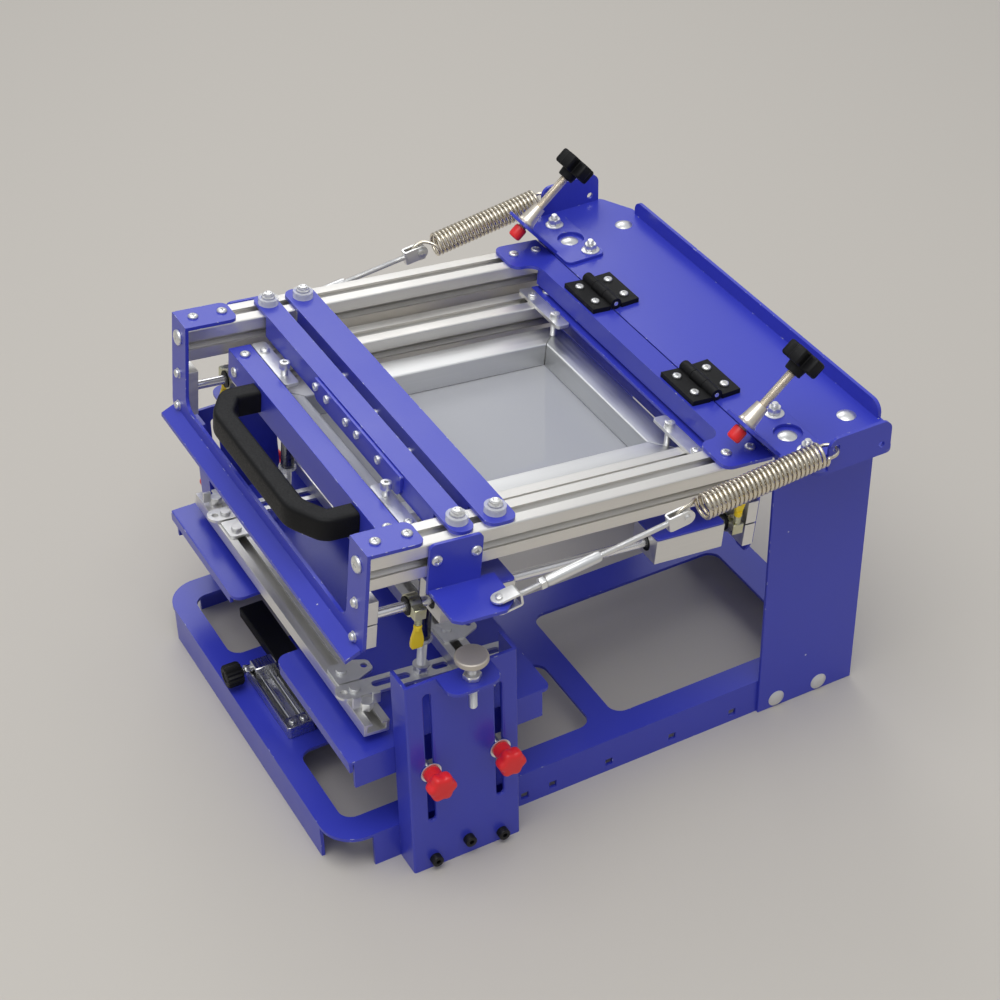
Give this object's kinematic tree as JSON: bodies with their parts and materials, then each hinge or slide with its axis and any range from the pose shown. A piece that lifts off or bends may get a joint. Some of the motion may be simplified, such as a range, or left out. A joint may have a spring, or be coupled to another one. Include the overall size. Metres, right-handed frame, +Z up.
{
  "type": "screen printing press",
  "caption": "Hand-worked tabletop screen printing press with a hinged, spring-balanced arm, a sliding screen carriage with a pull handle and a height-adjustable work table.",
  "frame": {"origin": "middle of the lower edge of the base's front flange, on the surface that the press stands on", "axes": "+Z up; +Y from the operator to the tower; +X to the operator's right"},
  "size_m": [0.477, 0.504, 0.3737],
  "materials": {
    "blue_paint": "semi-gloss",
    "aluminium": "satin",
    "chrome": "polished",
    "bright_steel": "satin",
    "zinc": "plated",
    "black_plastic": "satin",
    "red_plastic": "gloss",
    "mesh_fabric": "fine weave"
  },
  "bodies": {
    "base": {"base_plate": "blue_paint", "towers": "blue_paint", "top_plate": "blue_paint", "stands": "blue_paint", "hinge_rear_leaves": "black_plastic", "hinge_pins": "bright_steel", "stop_brackets": "blue_paint", "base_fasteners": "zinc", "fixture_tray": "bright_steel", "fixture_pad": "black_plastic"},
    "fixture_screw": {"fixture_knob": "black_plastic"},
    "table": {"work_table": "blue_paint"},
    "arm": {"arm_rails": "aluminium", "front_panel": "blue_paint", "rear_legs": "blue_paint", "hinge_bar": "blue_paint", "spring_brackets": "blue_paint", "guide_rods": "chrome", "rod_supports": "aluminium", "hinge_front_leaves": "black_plastic", "arm_fasteners": "zinc"},
    "squeegee_carrier": {"squeegee_bar": "blue_paint", "squeegee_holder": "blue_paint", "squeegee_bar_bolts": "zinc"},
    "rear_crossbar": {"rear_bar": "blue_paint", "rear_bar_bolts": "zinc"},
    "carriage": {"carriage_rails": "aluminium", "carriage_front": "blue_paint", "carriage_rear": "blue_paint", "bearing_blocks": "aluminium", "block_plates": "blue_paint", "handle": "black_plastic", "screen_frame": "aluminium", "screen_mesh": "mesh_fabric", "frame_straps": "zinc", "carriage_fasteners": "zinc", "lower_rails": "aluminium", "lower_straps": "zinc", "lower_posts": "zinc", "lower_fasteners": "zinc"},
    "spring_left": {"spring_left": "bright_steel"},
    "link_left": {"spring_link_left": "zinc"},
    "stop_screw_left": {"stop_screw_left": "zinc"},
    "stop_knob_left": {"stop_knob_left": "black_plastic"},
    "height_screw_left": {"height_screw_left": "zinc"},
    "height_knob_left": {"height_knob_left": "zinc"},
    "hose_clamp_left_front": {"hose_clamp_left_front": "zinc"},
    "hose_clamp_left_rear": {"hose_clamp_left_rear": "zinc"},
    "clamp_knob_left_front": {"clamp_knob_left_front": "red_plastic"},
    "clamp_knob_left_rear": {"clamp_knob_left_rear": "red_plastic"},
    "spring_right": {"spring_right": "bright_steel"},
    "link_right": {"spring_link_right": "zinc"},
    "stop_screw_right": {"stop_screw_right": "zinc"},
    "stop_knob_right": {"stop_knob_right": "black_plastic"},
    "height_screw_right": {"height_screw_right": "zinc"},
    "height_knob_right": {"height_knob_right": "zinc"},
    "hose_clamp_right_front": {"hose_clamp_right_front": "zinc"},
    "hose_clamp_right_rear": {"hose_clamp_right_rear": "zinc"},
    "clamp_knob_right_front": {"clamp_knob_right_front": "red_plastic"},
    "clamp_knob_right_rear": {"clamp_knob_right_rear": "red_plastic"}
  },
  "joints": [
    {"name": "arm_hinge", "type": "hinge", "parent": "base", "child": "arm", "pos_m": [0, 0.4, 0.288], "axis": [1, 0, 0], "range_deg": [-7.5, 0]},
    {"name": "table_height", "type": "slide", "parent": "base", "child": "table", "axis": [0, 0, 1], "range_m": [-0.0485, 0]},
    {"name": "fixture_screw_turn", "type": "hinge", "parent": "base", "child": "fixture_screw", "pos_m": [-0.031, 0.013, 0.05], "axis": [0, 1, 0], "range_deg": [-720, 720]},
    {"name": "carriage_slide", "type": "slide", "parent": "arm", "child": "carriage", "axis": [0, 0.9945, -0.1045], "range_m": [-0.009, 0.0017]},
    {"name": "squeegee_slide", "type": "slide", "parent": "arm", "child": "squeegee_carrier", "axis": [0, 0.9945, -0.1045], "range_m": [-0.0016, 0.0088]},
    {"name": "crossbar_slide", "type": "slide", "parent": "arm", "child": "rear_crossbar", "axis": [0, 0.9945, -0.1045], "range_m": [-0.0088, 0.18]},
    {"name": "spring_swing_left", "type": "hinge", "parent": "base", "child": "spring_left", "pos_m": [-0.2275, 0.43, 0.302], "axis": [1, 0, 0], "range_deg": [-7.1, 0.5]},
    {"name": "link_slide_left", "type": "slide", "parent": "spring_left", "child": "link_left", "axis": [0, 0.9923, 0.124], "range_m": [-0.0003, 0.0019]},
    {"name": "stop_travel_left", "type": "slide", "parent": "base", "child": "stop_screw_left", "axis": [0, 0.7613, 0.6484], "range_m": [-0.006, 0.0012]},
    {"name": "stop_turn_left", "type": "hinge", "parent": "stop_screw_left", "child": "stop_knob_left", "pos_m": [-0.178, 0.419, 0.347], "axis": [0, 0.7613, 0.6484], "range_deg": [-1728, 345.6]},
    {"name": "height_travel_left", "type": "slide", "parent": "base", "child": "height_screw_left", "axis": [0, 0, 1], "range_m": [-0.01, 0.025]},
    {"name": "height_turn_left", "type": "hinge", "parent": "height_screw_left", "child": "height_knob_left", "pos_m": [-0.222, 0.1085, 0.22], "axis": [0, 0, 1], "range_deg": [-2880, 7200]},
    {"name": "hose_clamp_slide_left_front", "type": "slide", "parent": "arm", "child": "hose_clamp_left_front", "axis": [0, 0.9945, -0.1045], "range_m": [-0.027, 0.0085]},
    {"name": "hose_clamp_slide_left_rear", "type": "slide", "parent": "arm", "child": "hose_clamp_left_rear", "axis": [0, 0.9945, -0.1045], "range_m": [-0.009, 0.0025]},
    {"name": "clamp_turn_left_front", "type": "hinge", "parent": "table", "child": "clamp_knob_left_front", "pos_m": [-0.216, 0.0755, 0.106], "axis": [1, 0, 0], "range_deg": [-360, 360]},
    {"name": "clamp_turn_left_rear", "type": "hinge", "parent": "table", "child": "clamp_knob_left_rear", "pos_m": [-0.216, 0.137, 0.103], "axis": [1, 0, 0], "range_deg": [-360, 360]},
    {"name": "spring_swing_right", "type": "hinge", "parent": "base", "child": "spring_right", "pos_m": [0.2275, 0.43, 0.302], "axis": [1, 0, 0], "range_deg": [-7.1, 0.5]},
    {"name": "link_slide_right", "type": "slide", "parent": "spring_right", "child": "link_right", "axis": [0, 0.9923, 0.124], "range_m": [-0.0003, 0.0019]},
    {"name": "stop_travel_right", "type": "slide", "parent": "base", "child": "stop_screw_right", "axis": [0, 0.7613, 0.6484], "range_m": [-0.006, 0.0012]},
    {"name": "stop_turn_right", "type": "hinge", "parent": "stop_screw_right", "child": "stop_knob_right", "pos_m": [0.178, 0.419, 0.347], "axis": [0, 0.7613, 0.6484], "range_deg": [-1728, 345.6]},
    {"name": "height_travel_right", "type": "slide", "parent": "base", "child": "height_screw_right", "axis": [0, 0, 1], "range_m": [-0.01, 0.025]},
    {"name": "height_turn_right", "type": "hinge", "parent": "height_screw_right", "child": "height_knob_right", "pos_m": [0.222, 0.1085, 0.22], "axis": [0, 0, 1], "range_deg": [-2880, 7200]},
    {"name": "hose_clamp_slide_right_front", "type": "slide", "parent": "arm", "child": "hose_clamp_right_front", "axis": [0, 0.9945, -0.1045], "range_m": [-0.027, 0.0085]},
    {"name": "hose_clamp_slide_right_rear", "type": "slide", "parent": "arm", "child": "hose_clamp_right_rear", "axis": [0, 0.9945, -0.1045], "range_m": [-0.009, 0.0025]},
    {"name": "clamp_turn_right_front", "type": "hinge", "parent": "table", "child": "clamp_knob_right_front", "pos_m": [0.216, 0.0755, 0.106], "axis": [1, 0, 0], "range_deg": [-360, 360]},
    {"name": "clamp_turn_right_rear", "type": "hinge", "parent": "table", "child": "clamp_knob_right_rear", "pos_m": [0.216, 0.137, 0.103], "axis": [1, 0, 0], "range_deg": [-360, 360]}
  ],
  "couplings": [
    {"joint": "spring_swing_left", "follows": "arm_hinge", "ratio": 0.89675},
    {"joint": "link_slide_left", "follows": "arm_hinge", "m_per_rad": -0.01187},
    {"joint": "stop_travel_left", "follows": "stop_turn_left", "m_per_rad": 0.00019894},
    {"joint": "height_travel_left", "follows": "height_turn_left", "m_per_rad": 0.00019894},
    {"joint": "spring_swing_right", "follows": "arm_hinge", "ratio": 0.89675},
    {"joint": "link_slide_right", "follows": "arm_hinge", "m_per_rad": -0.01187},
    {"joint": "stop_travel_right", "follows": "stop_turn_right", "m_per_rad": 0.00019894},
    {"joint": "height_travel_right", "follows": "height_turn_right", "m_per_rad": 0.00019894}
  ]
}
